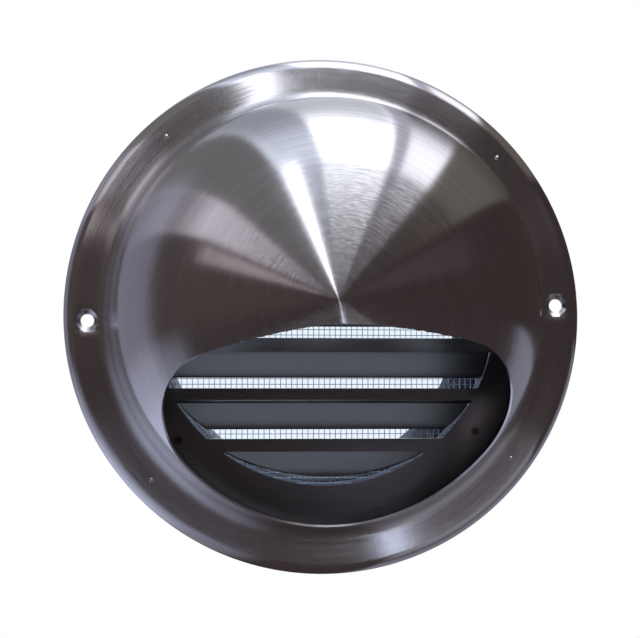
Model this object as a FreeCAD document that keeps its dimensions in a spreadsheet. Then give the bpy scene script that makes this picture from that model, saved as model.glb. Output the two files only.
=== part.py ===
import FreeCAD, Part
import math
import os

import Sketcher

# Round hooded wall vent cover in stainless steel, for a 100 mm duct.
# +Z is up, the hood faces -Y, and the origin is the duct's centre on the wall plane Y = 0.
# Four formed sheets: hood, louvre plate, woven insect screen and duct spigot.

# Driving dimensions: name, value in millimetres or degrees, meaning.
DIMENSIONS = (
    ("spigot_diameter", 98.0, "outside of the collar that enters the duct"),
    ("spigot_length", 58.0, "reach of the collar behind the wall plane"),
    ("spigot_sheet", 0.5, "sheet of the collar"),
    ("spigot_bend", 1.5, "outside radius between collar and flange"),
    ("spigot_flange", 11.0, "width of the collar's flange, which holds the screen to the plate"),
    ("hood_sheet", 0.6, "sheet of the hood"),
    ("hood_height", 48.0, "peak of the dome above the flange's face"),
    ("wall_draft", 10.7, "lean of the dome's wall"),
    ("cone_angle", 7.1, "slope of the dome's flat cone"),
    ("shoulder_radius", 27.6, "outside radius between wall and cone"),
    ("foot_radius", 3.0, "outside radius between wall and flange"),
    ("flange_width", 13.0, "dome's foot to the outer edge"),
    ("flange_height", 5.0, "flange's face above the wall plane"),
    ("lip_radius", 4.2, "outside radius of the rolled edge"),
    ("mouth_angle", 34.9, "slant of the mouth's cut from the wall plane"),
    ("mouth_sill", 8.1, "height of the wall left below the mouth"),
    ("screw_hole", 3.8, "clear diameter of each screw hole"),
    ("dimple_width", 5.2, "diameter of the pressed dimple round a screw hole"),
    ("dimple_depth", 0.7, "depth of that dimple"),
    ("dimple_border", 0.25, "flat border of the dimple, shared with the flange"),
    ("dimple_clearance", 1.0, "room round each dimple in the plate behind"),
    ("plate_sheet", 0.6, "sheet of the louvre plate"),
    ("plate_ledge", 12.5, "louvre field to the dome's foot"),
    ("plate_clearance", 0.2, "plate's rim to the start of the rolled edge"),
    ("louvre_margin", 0.5, "louvre field beyond the collar's radius"),
    ("louvre_crown", 2.7, "top of the louvre field to the first bend"),
    ("louvre_turn", 2.1, "turn of the welded plate against the screw line"),
    ("blade_length", 10.5, "bend to free edge of a blade"),
    ("blade_angle", 45.0, "blade bent out of the plate"),
    ("strip_height", 4.0, "plate left between two louvres"),
    ("lance_gap", 0.3, "gap round a blade's lanced edge"),
    ("shortest_blade", 4.0, "least height of the last blade at the field's foot"),
    ("wire_layer", 0.28, "thickness of each layer of wires"),
    ("screen_inset", 0.5, "screen's rim inside the flange's, and its border outside the louvre field"),
    ("screen_pitch", 9.5, "spacing of the ridges that stand for the weave"),
    ("screen_ridge", 1.7, "width of such a ridge"),
)

# Sizes that follow from the driving dimensions.
SPIGOT_RADIUS = "(Sizes.spigot_diameter / 2)"
LOUVRE_RADIUS = f"({SPIGOT_RADIUS} + Sizes.louvre_margin)"
BLADE_RADIUS = f"({LOUVRE_RADIUS} - Sizes.lance_gap)"
HOOD_RADIUS = f"({LOUVRE_RADIUS} + Sizes.plate_ledge)"
FLANGE_RADIUS = f"({HOOD_RADIUS} + Sizes.flange_width)"
FLAT_RADIUS = f"({FLANGE_RADIUS} - Sizes.lip_radius)"
PLATE_RADIUS = f"({FLAT_RADIUS} - Sizes.plate_clearance)"
SCREW_RADIUS = f"(({HOOD_RADIUS} + Sizes.foot_radius + {FLAT_RADIUS}) / 2)"
SPIGOT_RIM_RADIUS = f"({SPIGOT_RADIUS} + Sizes.spigot_flange)"
SCREEN_RADIUS = f"({SPIGOT_RIM_RADIUS} - Sizes.screen_inset)"
SCREEN_OPEN_RADIUS = f"({LOUVRE_RADIUS} + Sizes.screen_inset)"
LOUVRE_PITCH = "(Sizes.blade_length + Sizes.strip_height)"
BEND_SETBACK = "(Sizes.plate_sheet * tan(Sizes.blade_angle / 2))"

# Distances of the faces in front of the wall plane.
PLATE_FRONT = "(Sizes.flange_height - Sizes.hood_sheet)"
SCREEN_FRONT = f"({PLATE_FRONT} - Sizes.plate_sheet)"
SPIGOT_FRONT = f"({SCREEN_FRONT} - 2 * Sizes.wire_layer)"

FULL_TURN = math.degrees(math.tau)
X_AXIS = FreeCAD.Vector(1, 0, 0)
Y_AXIS = FreeCAD.Vector(0, 1, 0)
SKETCH_START, SKETCH_END, SKETCH_CENTRE = range(1, 4)
HORIZONTAL_AXIS, VERTICAL_AXIS = range(-1, -3, -1)
ORIGIN_POINT = (HORIZONTAL_AXIS, SKETCH_START)

doc = FreeCAD.newDocument("RoundVentCover")
sheet = doc.addObject("Spreadsheet::Sheet", "Sizes")


def fill_sheet():
    for row, (name, value, meaning) in enumerate(DIMENSIONS, start=1):
        sheet.set(f"A{row}", name)
        sheet.set(f"B{row}", str(value))
        sheet.setAlias(f"B{row}", name)
        sheet.set(f"C{row}", meaning)
    doc.recompute()


def number(expression):
    result = sheet.evalExpression(expression)
    return float(getattr(result, "Value", result))


def point(across, along):
    return FreeCAD.Vector(across, along, 0)


# Sketches and features

def new_body(label):
    body = doc.addObject("PartDesign::Body", label)
    body.Label = label
    return body


def new_sketch(body, plane_role, name):
    sketch = body.newObject("Sketcher::SketchObject", name)
    plane = next(feature for feature in body.Origin.OriginFeatures if feature.Role == plane_role)
    sketch.AttachmentSupport = [(plane, "")]
    sketch.MapMode = "FlatFace"
    return sketch


def hold(sketch, kind, *places):
    sketch.addConstraint(Sketcher.Constraint(kind, *places))


def drive(sketch, kind, *places, size):
    """Add a constraint whose value is bound to an expression over the sheet."""
    value = number(size)
    if kind == "Angle":
        value = math.radians(value)
        size = f"({size}) * 1 deg"
    index = sketch.addConstraint(Sketcher.Constraint(kind, *places, value))
    sketch.setExpression(f"Constraints[{index}]", size)


def bind_length(feature, expression):
    feature.Length = number(expression)
    feature.setExpression("Length", expression)


def pad(body, sketch, name, length, towards_back):
    """Thicken a sketch on a plane that faces the front, forwards or towards the back."""
    feature = body.newObject("PartDesign::Pad", name)
    feature.Profile = sketch
    bind_length(feature, length)
    feature.Reversed = towards_back
    return feature


def cut_through(body, sketch, name):
    feature = body.newObject("PartDesign::Pocket", name)
    feature.Profile = sketch
    feature.Type = "ThroughAll"
    feature.SideType = "Symmetric"
    return feature


def revolve(body, sketch, name, axis):
    feature = body.newObject("PartDesign::Revolution", name)
    feature.Profile = sketch
    feature.ReferenceAxis = (sketch, [axis])
    feature.Angle = FULL_TURN
    return feature


def set_forward(sketch, distance):
    """Move a sketch on the XZ plane in front of the wall plane."""
    sketch.AttachmentOffset = FreeCAD.Placement(FreeCAD.Vector(0, 0, number(distance)), FreeCAD.Rotation())
    sketch.setExpression("AttachmentOffset.Base.z", distance)


def add_circle(sketch, radius, centre=None):
    """Add a circle at the sketch's origin, or at a pair of expressions."""
    place = point(number(centre[0]), number(centre[1])) if centre else point(0, 0)
    circle = sketch.addGeometry(Part.Circle(place, FreeCAD.Vector(0, 0, 1), number(radius)))
    drive(sketch, "Radius", circle, size=radius)
    if centre:
        drive(sketch, "DistanceX", *ORIGIN_POINT, circle, SKETCH_CENTRE, size=centre[0])
        drive(sketch, "DistanceY", *ORIGIN_POINT, circle, SKETCH_CENTRE, size=centre[1])
    else:
        hold(sketch, "Coincident", circle, SKETCH_CENTRE, *ORIGIN_POINT)
    return circle


def add_loop(sketch, corners):
    """Add a closed outline of straight lines and return the lines in order."""
    lines = []
    for start, end in zip(corners, corners[1:] + corners[:1]):
        lines.append(sketch.addGeometry(Part.LineSegment(start, end)))
    for line, following in zip(lines, lines[1:] + lines[:1]):
        hold(sketch, "Coincident", line, SKETCH_END, following, SKETCH_START)
    return lines


# A bent sheet's section: a chain of lines joined by tangent arcs, and the same chain one sheet away

def add_bent_chain(sketch, corners, radii):
    """Add lines through the corners with an arc at each inner corner."""
    lines = []
    arcs = []
    start = corners[0]
    joints = []
    for before, corner, after, radius in zip(corners, corners[1:], corners[2:], radii):
        inward = (corner - before).normalize()
        outward = (after - corner).normalize()
        turn = inward.getAngle(outward)
        left_turn = inward.cross(outward).z > 0
        setback = radius * math.tan(turn / 2)
        arc_start = corner - inward * setback
        arc_end = corner + outward * setback
        bisector = (outward - inward).normalize()
        arc_middle = corner + bisector * radius * (1 / math.cos(turn / 2) - 1)
        lines.append(sketch.addGeometry(Part.LineSegment(start, arc_start)))
        arcs.append(sketch.addGeometry(Part.Arc(arc_start, arc_middle, arc_end)))
        joints.append((SKETCH_START, SKETCH_END) if left_turn else (SKETCH_END, SKETCH_START))
        start = arc_end
    lines.append(sketch.addGeometry(Part.LineSegment(start, corners[-1])))
    for index, (arc, (entry, leave)) in enumerate(zip(arcs, joints)):
        hold(sketch, "Tangent", lines[index], SKETCH_END, arc, entry)
        hold(sketch, "Tangent", arc, leave, lines[index + 1], SKETCH_START)
    return lines, arcs


def right_normal(start, end):
    along = (end - start).normalize()
    return FreeCAD.Vector(along.y, -along.x, 0)


def offset_corners(corners, wall, side, first_cap):
    """Corners of the chain one sheet to the right or left; first_cap is the direction of the first end."""
    normals = [right_normal(start, end) * side for start, end in zip(corners, corners[1:])]
    moved = [corners[0] + first_cap * (wall / first_cap.dot(normals[0]))]
    for corner, before, after in zip(corners[1:-1], normals, normals[1:]):
        moved.append(corner + (before + after) * (wall / (1 + before.dot(after))))
    moved.append(corners[-1] + normals[-1] * wall)
    return moved


def add_bent_sheet(sketch, corners, radii, wall, first_cap):
    """Add a bent sheet's closed section, its wall on the side that first_cap points to.

    Returns the outer lines, the outer arcs and the two end caps.
    """
    thickness = number(wall)
    side = math.copysign(1, first_cap.dot(right_normal(corners[0], corners[1])))
    inner_radii = []
    for before, corner, after, radius in zip(corners, corners[1:], corners[2:], radii):
        bends_inwards = side * (corner - before).cross(after - corner).z < 0
        inner_radii.append(radius - thickness if bends_inwards else radius + thickness)
    outer_lines, outer_arcs = add_bent_chain(sketch, corners, radii)
    inner = offset_corners(corners, thickness, side, first_cap)
    inner_lines, inner_arcs = add_bent_chain(sketch, inner, inner_radii)
    for outer, twin in zip(outer_arcs, inner_arcs):
        hold(sketch, "Coincident", outer, SKETCH_CENTRE, twin, SKETCH_CENTRE)
    for outer, twin in zip(outer_lines, inner_lines):
        hold(sketch, "Parallel", outer, twin)
    ends = ((outer_lines[0], inner_lines[0], SKETCH_START), (outer_lines[-1], inner_lines[-1], SKETCH_END))
    caps = []
    for outer, twin, place in ends:
        cap = sketch.addGeometry(Part.LineSegment(sketch.getPoint(outer, place), sketch.getPoint(twin, place)))
        hold(sketch, "Coincident", cap, SKETCH_START, outer, place)
        hold(sketch, "Coincident", cap, SKETCH_END, twin, place)
        caps.append(cap)
    drive(sketch, "Distance", inner_lines[-1], SKETCH_END, outer_lines[-1], size=wall)
    return outer_lines, outer_arcs, caps


# Hood

def dome_corners():
    """Corners of the hood's outside before rounding: peak, shoulder, foot, rolled edge, back edge."""
    foot = number(HOOD_RADIUS)
    face = -number("Sizes.flange_height")
    height = number("Sizes.hood_height")
    lean = math.tan(math.radians(number("Sizes.wall_draft")))
    slope = math.tan(math.radians(number("Sizes.cone_angle")))
    shoulder = (foot - height * lean) / (1 - slope * lean)
    edge = number(FLANGE_RADIUS)
    return [
        point(0, face - height),
        point(shoulder, face - height + shoulder * slope),
        point(foot, face),
        point(edge, face),
        point(edge, 0),
    ]


def draw_hood_section(sketch):
    corners = dome_corners()
    names = ("Sizes.shoulder_radius", "Sizes.foot_radius", "Sizes.lip_radius")
    radii = [number(name) for name in names]
    lines, arcs, caps = add_bent_sheet(sketch, corners, radii, "Sizes.hood_sheet", Y_AXIS)
    cone, wall, flange, edge = lines
    for arc, name in zip(arcs, names):
        drive(sketch, "Radius", arc, size=name)
    hold(sketch, "PointOnObject", cone, SKETCH_START, VERTICAL_AXIS)
    hold(sketch, "Vertical", caps[0])
    drive(sketch, "DistanceY", cone, SKETCH_START, *ORIGIN_POINT,
          size="Sizes.flange_height + Sizes.hood_height")
    drive(sketch, "Angle", HORIZONTAL_AXIS, SKETCH_START, cone, SKETCH_START, size="Sizes.cone_angle")
    drive(sketch, "Angle", HORIZONTAL_AXIS, SKETCH_START, wall, SKETCH_START, size="90 - Sizes.wall_draft")
    hold(sketch, "Horizontal", flange)
    drive(sketch, "DistanceY", flange, SKETCH_END, *ORIGIN_POINT, size="Sizes.flange_height")
    foot = sketch.addGeometry(Part.Point(corners[2]), True)
    hold(sketch, "PointOnObject", foot, SKETCH_START, wall)
    hold(sketch, "PointOnObject", foot, SKETCH_START, flange)
    drive(sketch, "DistanceX", *ORIGIN_POINT, foot, SKETCH_START, size=HOOD_RADIUS)
    hold(sketch, "Vertical", edge)
    drive(sketch, "DistanceX", *ORIGIN_POINT, edge, SKETCH_END, size=FLANGE_RADIUS)
    hold(sketch, "PointOnObject", edge, SKETCH_END, HORIZONTAL_AXIS)
    hold(sketch, "Horizontal", caps[1])


def draw_mouth_wedge(sketch):
    """Everything in front of the slanting plane that rises from the sill to the peak."""
    slant = math.tan(math.radians(number("Sizes.mouth_angle")))
    low = -number(FLANGE_RADIUS)
    sill_height = number("Sizes.flange_height + Sizes.mouth_sill")
    front = number("Sizes.flange_height + 2 * Sizes.hood_height")
    low_height = sill_height + (low + number(HOOD_RADIUS)) * slant
    high = low + (front - low_height) / slant
    corners = [point(-low_height, low), point(-front, high), point(-front, low)]
    slanting, upright, level = add_loop(sketch, corners)
    hold(sketch, "Vertical", upright)
    hold(sketch, "Horizontal", level)
    drive(sketch, "DistanceY", level, SKETCH_START, *ORIGIN_POINT, size=FLANGE_RADIUS)
    drive(sketch, "DistanceX", upright, SKETCH_START, *ORIGIN_POINT,
          size="Sizes.flange_height + 2 * Sizes.hood_height")
    sill = sketch.addGeometry(Part.Point(point(-sill_height, -number(HOOD_RADIUS))), True)
    hold(sketch, "PointOnObject", sill, SKETCH_START, slanting)
    drive(sketch, "DistanceY", sill, SKETCH_START, *ORIGIN_POINT, size=HOOD_RADIUS)
    drive(sketch, "DistanceX", sill, SKETCH_START, *ORIGIN_POINT,
          size="Sizes.flange_height + Sizes.mouth_sill")
    drive(sketch, "Angle", upright, SKETCH_START, slanting, SKETCH_END, size="Sizes.mouth_angle")


def draw_dimple_section(sketch):
    """The sheet pressed back round one screw hole, and the hole's axis as a construction line."""
    centre = number(SCREW_RADIUS)
    outer = number(f"{SCREW_RADIUS} + Sizes.dimple_width / 2")
    inner = number(f"{SCREW_RADIUS} + Sizes.screw_hole / 2")
    border = number("Sizes.dimple_border")
    face = -number("Sizes.flange_height")
    wall = number("Sizes.hood_sheet")
    depth = number("Sizes.dimple_depth")
    corners = [
        point(outer + border, face),
        point(outer + border, face + wall),
        point(outer, face + wall),
        point(inner, face + depth + wall),
        point(inner, face + depth),
        point(outer, face),
    ]
    rim, border_back, back, bore, front, border_front = add_loop(sketch, corners)
    axis = sketch.addGeometry(Part.LineSegment(point(centre, face), point(centre, 0)), True)
    for line in (rim, bore, axis):
        hold(sketch, "Vertical", line)
    for line in (border_back, border_front):
        hold(sketch, "Horizontal", line)
    hold(sketch, "Equal", border_back, border_front)
    hold(sketch, "Equal", rim, bore)
    hold(sketch, "PointOnObject", axis, SKETCH_END, HORIZONTAL_AXIS)
    drive(sketch, "DistanceX", *ORIGIN_POINT, axis, SKETCH_START, size=SCREW_RADIUS)
    drive(sketch, "DistanceY", axis, SKETCH_START, *ORIGIN_POINT, size="Sizes.flange_height")
    drive(sketch, "DistanceX", axis, SKETCH_START, front, SKETCH_END, size="Sizes.dimple_width / 2")
    drive(sketch, "DistanceX", front, SKETCH_END, rim, SKETCH_START, size="Sizes.dimple_border")
    drive(sketch, "DistanceX", axis, SKETCH_START, bore, SKETCH_END, size="Sizes.screw_hole / 2")
    drive(sketch, "DistanceY", rim, SKETCH_START, *ORIGIN_POINT, size="Sizes.flange_height")
    drive(sketch, "DistanceY", rim, SKETCH_START, rim, SKETCH_END, size="Sizes.hood_sheet")
    drive(sketch, "DistanceY", rim, SKETCH_START, bore, SKETCH_END, size="Sizes.dimple_depth")


def make_hood():
    body = new_body("hood")
    section = new_sketch(body, "XY_Plane", "HoodSection")
    draw_hood_section(section)
    revolve(body, section, "PressedHood", "V_Axis")
    wedge = new_sketch(body, "YZ_Plane", "MouthWedge")
    draw_mouth_wedge(wedge)
    cut_through(body, wedge, "Mouth")
    rounds = new_sketch(body, "XZ_Plane", "DimpleRounds")
    for side in ("", "-"):
        add_circle(rounds, "Sizes.dimple_width / 2", (side + SCREW_RADIUS, "0"))
    cut_through(body, rounds, "DimpleOpenings")
    dimple_section = new_sketch(body, "XY_Plane", "DimpleSection")
    draw_dimple_section(dimple_section)
    dimple = revolve(body, dimple_section, "Dimple", "Axis0")
    doc.recompute()
    pair = body.newObject("PartDesign::Mirrored", "DimplePair")
    pair.Originals = [dimple]
    plane = next(feature for feature in body.Origin.OriginFeatures if feature.Role == "YZ_Plane")
    pair.MirrorPlane = (plane, [""])
    body.Tip = pair
    return body


# Louvre plate

def bend_heights():
    """Heights of the louvres' bends above the plate's centre, from the top down."""
    radius = number(LOUVRE_RADIUS)
    height = radius - number("Sizes.louvre_crown")
    heights = []
    while height > number("Sizes.shortest_blade") - radius:
        heights.append(height)
        height -= number(LOUVRE_PITCH)
    return heights


def draw_circle_band(sketch, radius, centre, high, low):
    """Part of a circle between two level lines, or below the upper one where the lower lies outside."""
    size = number(radius)
    middle = number(centre)
    upper = number(high) - middle
    lower = number(low) - middle
    upper_half = math.sqrt(size ** 2 - upper ** 2)
    top = sketch.addGeometry(Part.LineSegment(point(upper_half, upper + middle), point(-upper_half, upper + middle)))
    hold(sketch, "Horizontal", top)
    drive_height(sketch, top, SKETCH_START, high)
    if lower <= -size + number("Sizes.lance_gap"):
        ends = (point(-upper_half, upper + middle), point(0, middle - size), point(upper_half, upper + middle))
        arc = sketch.addGeometry(Part.Arc(*ends))
        hold(sketch, "Coincident", top, SKETCH_END, arc, SKETCH_START)
        hold(sketch, "Coincident", arc, SKETCH_END, top, SKETCH_START)
        arcs = [arc]
    else:
        lower_half = math.sqrt(size ** 2 - lower ** 2)
        mid_height = (upper + lower) / 2
        mid_half = math.sqrt(size ** 2 - mid_height ** 2)
        left_points = ((-upper_half, upper), (-mid_half, mid_height), (-lower_half, lower))
        right_points = ((lower_half, lower), (mid_half, mid_height), (upper_half, upper))
        left = sketch.addGeometry(Part.Arc(*(point(x, y + middle) for x, y in left_points)))
        bottom_ends = (point(-lower_half, lower + middle), point(lower_half, lower + middle))
        bottom = sketch.addGeometry(Part.LineSegment(*bottom_ends))
        right = sketch.addGeometry(Part.Arc(*(point(x, y + middle) for x, y in right_points)))
        chain = (top, left, bottom, right)
        for part, following in zip(chain, chain[1:] + chain[:1]):
            hold(sketch, "Coincident", part, SKETCH_END, following, SKETCH_START)
        hold(sketch, "Horizontal", bottom)
        drive_height(sketch, bottom, SKETCH_START, low)
        hold(sketch, "Coincident", left, SKETCH_CENTRE, right, SKETCH_CENTRE)
        hold(sketch, "Equal", left, right)
        arcs = [left, right]
    drive(sketch, "Radius", arcs[0], size=radius)
    hold(sketch, "PointOnObject", arcs[0], SKETCH_CENTRE, VERTICAL_AXIS)
    drive_height(sketch, arcs[0], SKETCH_CENTRE, centre)


def drive_height(sketch, geometry, place, height):
    """Bind a point's height above the sketch's origin, which may be below it or on it."""
    drive(sketch, "DistanceY", *ORIGIN_POINT, geometry, place, size=height)


def make_louvre_plate():
    body = new_body("louvre_plate")
    outline = new_sketch(body, "XZ_Plane", "PlateOutline")
    add_circle(outline, PLATE_RADIUS)
    set_forward(outline, PLATE_FRONT)
    pad(body, outline, "PlateDisc", "Sizes.plate_sheet", towards_back=True)
    notches = new_sketch(body, "XZ_Plane", "ScrewNotches")
    for side in ("", "-"):
        place = (f"{side}{SCREW_RADIUS} * cos(Sizes.louvre_turn)", f"{side}{SCREW_RADIUS} * sin(Sizes.louvre_turn)")
        add_circle(notches, "Sizes.dimple_width / 2 + Sizes.dimple_clearance", place)
    cut_through(body, notches, "NotchCut")
    rows = range(len(bend_heights()))
    bends = [f"({LOUVRE_RADIUS} - Sizes.louvre_crown - {row} * {LOUVRE_PITCH})" for row in rows]
    slots = new_sketch(body, "XZ_Plane", "LouvreSlots")
    for bend in bends:
        draw_circle_band(slots, LOUVRE_RADIUS, "0", f"{bend} - {BEND_SETBACK}", f"{bend} - Sizes.blade_length")
    cut_through(body, slots, "SlotCut")
    for row, bend in enumerate(bends):
        blade = new_sketch(body, "XZ_Plane", f"Blade{row}")
        draw_circle_band(blade, BLADE_RADIUS, f"-{bend}", BEND_SETBACK, "Sizes.lance_gap - Sizes.blade_length")
        tilt = FreeCAD.Rotation(X_AXIS, -number("Sizes.blade_angle"))
        blade.AttachmentOffset = FreeCAD.Placement(FreeCAD.Vector(0, number(bend), number(PLATE_FRONT)), tilt)
        blade.setExpression("AttachmentOffset.Base.y", bend)
        blade.setExpression("AttachmentOffset.Base.z", PLATE_FRONT)
        blade.setExpression("AttachmentOffset.Rotation.Angle", "-Sizes.blade_angle * 1 deg")
        pad(body, blade, f"BladePad{row}", "Sizes.plate_sheet", towards_back=True)
    body.Placement = FreeCAD.Placement(FreeCAD.Vector(), FreeCAD.Rotation(Y_AXIS, number("Sizes.louvre_turn")))
    body.setExpression("Placement.Rotation.Angle", "Sizes.louvre_turn * 1 deg")
    return body


# Insect screen

def draw_ridges(sketch, upright):
    """Parallel ridges through the centre and on both sides of it, each ending in the border."""
    border = f"(({SCREEN_RADIUS} + {SCREEN_OPEN_RADIUS}) / 2)"
    steps = int((number(border) - number("Sizes.screen_ridge")) // number("Sizes.screen_pitch"))
    for step in range(-steps, steps + 1):
        offset = f"({step} * Sizes.screen_pitch)"
        length = f"(2 * sqrt({border} ^ 2 - {offset} ^ 2))"
        if upright:
            draw_rectangle(sketch, (offset, "0"), "Sizes.screen_ridge", length)
        else:
            draw_rectangle(sketch, ("0", offset), length, "Sizes.screen_ridge")


def draw_rectangle(sketch, middle, width, height):
    """Rectangle with its middle at a pair of expressions."""
    low = [f"({place} - {size} / 2)" for place, size in zip(middle, (width, height))]
    left, bottom = (number(place) for place in low)
    right = left + number(width)
    top = bottom + number(height)
    corners = [point(left, bottom), point(right, bottom), point(right, top), point(left, top)]
    lines = add_loop(sketch, corners)
    for level, upright in zip(lines[::2], lines[1::2]):
        hold(sketch, "Horizontal", level)
        hold(sketch, "Vertical", upright)
    drive(sketch, "DistanceX", *ORIGIN_POINT, lines[0], SKETCH_START, size=low[0])
    drive(sketch, "DistanceY", *ORIGIN_POINT, lines[0], SKETCH_START, size=low[1])
    drive(sketch, "DistanceX", lines[0], SKETCH_START, lines[0], SKETCH_END, size=width)
    drive(sketch, "DistanceY", lines[1], SKETCH_START, lines[1], SKETCH_END, size=height)


def make_insect_screen():
    body = new_body("insect_screen")
    border = new_sketch(body, "XZ_Plane", "BorderOutline")
    add_circle(border, SCREEN_RADIUS)
    add_circle(border, SCREEN_OPEN_RADIUS)
    set_forward(border, SCREEN_FRONT)
    pad(body, border, "Border", "2 * Sizes.wire_layer", towards_back=True)
    layers = (("Warp", True, SCREEN_FRONT), ("Weft", False, f"({SCREEN_FRONT} - Sizes.wire_layer)"))
    for name, upright, front in layers:
        ridges = new_sketch(body, "XZ_Plane", f"{name}Ridges")
        draw_ridges(ridges, upright)
        set_forward(ridges, front)
        pad(body, ridges, name, "Sizes.wire_layer", towards_back=True)
    body.Placement = FreeCAD.Placement(FreeCAD.Vector(), FreeCAD.Rotation(Y_AXIS, number("Sizes.louvre_turn")))
    body.setExpression("Placement.Rotation.Angle", "Sizes.louvre_turn * 1 deg")
    return body


# Spigot

def draw_spigot_section(sketch):
    """Collar, bend and flange, drawn along the outside and back of the sheet."""
    radius = number(SPIGOT_RADIUS)
    flange_back = f"(Sizes.spigot_sheet - {SPIGOT_FRONT})"
    corners = [
        point(radius, number("Sizes.spigot_length")),
        point(radius, number(flange_back)),
        point(number(SPIGOT_RIM_RADIUS), number(flange_back)),
    ]
    bends = [number("Sizes.spigot_bend")]
    (collar, flange), (bend,), caps = add_bent_sheet(sketch, corners, bends, "Sizes.spigot_sheet", -X_AXIS)
    hold(sketch, "Horizontal", caps[0])
    hold(sketch, "Vertical", caps[1])
    drive(sketch, "Radius", bend, size="Sizes.spigot_bend")
    hold(sketch, "Vertical", collar)
    drive(sketch, "DistanceX", *ORIGIN_POINT, collar, SKETCH_START, size=SPIGOT_RADIUS)
    drive_height(sketch, collar, SKETCH_START, "Sizes.spigot_length")
    hold(sketch, "Horizontal", flange)
    drive_height(sketch, flange, SKETCH_END, flange_back)
    drive(sketch, "DistanceX", *ORIGIN_POINT, flange, SKETCH_END, size=SPIGOT_RIM_RADIUS)


def make_spigot():
    body = new_body("spigot")
    section = new_sketch(body, "XY_Plane", "SpigotSection")
    draw_spigot_section(section)
    revolve(body, section, "FormedSpigot", "V_Axis")
    return body


def check_document(sub_parts):
    for item in doc.Objects:
        if "Invalid" in item.State or "Error" in item.State:
            raise RuntimeError(f"{item.Name} failed: {item.State}")
    for body in sub_parts:
        shape = body.Shape
        if shape.isNull() or not shape.isValid() or len(shape.Solids) != 1:
            raise RuntimeError(f"{body.Label} is not one valid solid")


def main():
    fill_sheet()
    sub_parts = [make_hood(), make_louvre_plate(), make_insect_screen(), make_spigot()]
    doc.recompute()
    check_document(sub_parts)
    os.makedirs("parts", exist_ok=True)
    for body in sub_parts:
        body.Shape.exportStep(f"parts/{body.Label}.step")
        print(body.Label, round(body.Shape.Volume, 1), "mm3")


main()
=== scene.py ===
"""Looks of a round hooded wall vent cover in brushed stainless steel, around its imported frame."""

import math

import bmesh
import bpy
from mathutils import Matrix, Vector


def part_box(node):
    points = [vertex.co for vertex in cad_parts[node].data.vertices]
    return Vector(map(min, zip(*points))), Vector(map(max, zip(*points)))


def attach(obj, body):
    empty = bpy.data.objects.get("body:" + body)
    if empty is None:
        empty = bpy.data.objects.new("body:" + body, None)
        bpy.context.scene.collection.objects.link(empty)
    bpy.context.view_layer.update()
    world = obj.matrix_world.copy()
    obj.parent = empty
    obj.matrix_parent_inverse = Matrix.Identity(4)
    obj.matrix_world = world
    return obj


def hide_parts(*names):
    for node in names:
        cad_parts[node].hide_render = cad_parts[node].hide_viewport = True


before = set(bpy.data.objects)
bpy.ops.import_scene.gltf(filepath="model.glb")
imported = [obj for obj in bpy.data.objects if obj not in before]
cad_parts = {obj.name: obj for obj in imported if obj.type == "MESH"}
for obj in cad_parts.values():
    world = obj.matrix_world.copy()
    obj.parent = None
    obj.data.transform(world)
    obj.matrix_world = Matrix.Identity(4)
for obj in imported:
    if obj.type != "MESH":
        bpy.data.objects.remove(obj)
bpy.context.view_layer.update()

MM = 0.001

# Sizes read from the frame, in metres. The duct's axis is Y, and the front faces -Y.
hood_low, hood_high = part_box("hood")
plate_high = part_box("louvre_plate")[1]
screen_low, screen_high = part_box("insect_screen")
spigot_low, spigot_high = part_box("spigot")
EDGE_RADIUS = hood_high.x
PEAK_DEPTH = hood_low.y
PLATE_BACK = screen_low.y
SCREEN_BACK = screen_high.y
PLATE_RADIUS = plate_high.z
SCREEN_RADIUS = screen_high.x
SPIGOT_RIM_RADIUS = spigot_high.x
SPIGOT_END = spigot_high.y

# Hood
HOOD_SHEET = 0.6 * MM
HOOD_SEGMENTS = 256
FLANGE_FACE = -5.0 * MM
FOOT_RADIUS = EDGE_RADIUS - 13.0 * MM
LIP_BEND = 3.4 * MM
LIP_STEPS = 10
FOOT_BEND = 3.6 * MM
FOOT_STEPS = 8
WALL_DRAFT = math.radians(10.7)
WALL_STEPS = 4
SHOULDER_BEND = 27.6 * MM
SHOULDER_STEPS = 28
CONE_ANGLE = math.radians(7.1)
CROWN_TILT = math.radians(10.3)  # slope of the crowned cone where it meets the shoulder
CROWN_STEPS = 48
PEAK_FAN = 5.0 * MM  # radius of the last ring, which triangles close at the peak
MOUTH_ANGLE = math.radians(35.7)
MOUTH_TURN = math.radians(0.6)
MOUTH_SILL = 7.2 * MM

# Screw dimples
SCREW_RADIUS = 67.9 * MM
SCREW_HOLE = 3.8 * MM
DIMPLE_WIDTH = 6.2 * MM
DIMPLE_DEPTH = 0.8 * MM
DIMPLE_SEGMENTS = 32
# Share of the way from the dimple's edge to its hole, and the depth there
DIMPLE_PROFILE = ((0.0, 0.1 * DIMPLE_DEPTH), (0.2, 0.4 * DIMPLE_DEPTH), (0.8, 0.85 * DIMPLE_DEPTH),
                  (1.0, DIMPLE_DEPTH))
# Rings of edges on both sides of the dimples, and half the window that is opened between them
FLANGE_RINGS = (69.2 * MM, 66.6 * MM)
WINDOW_HALF = 0.62 * DIMPLE_WIDTH
WINDOW_DEPTH = 0.25 * MM
WINDOW_REACH = 1.6 * WINDOW_HALF

# Weld pips on the flange: their places are in degrees, and the steps up their crowns in radians
WELD_PIP_RADIUS = 68.5 * MM
WELD_PIP_WIDTH = 1.5 * MM
WELD_PIP_HEIGHT = 0.25 * MM
WELD_PIP_ANGLES = (40, 130, 222, 320)
WELD_PIP_TILTS = (0, 0.35, 0.7, 1.05, 1.35)
WELD_PIP_SEGMENTS = 20

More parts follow.
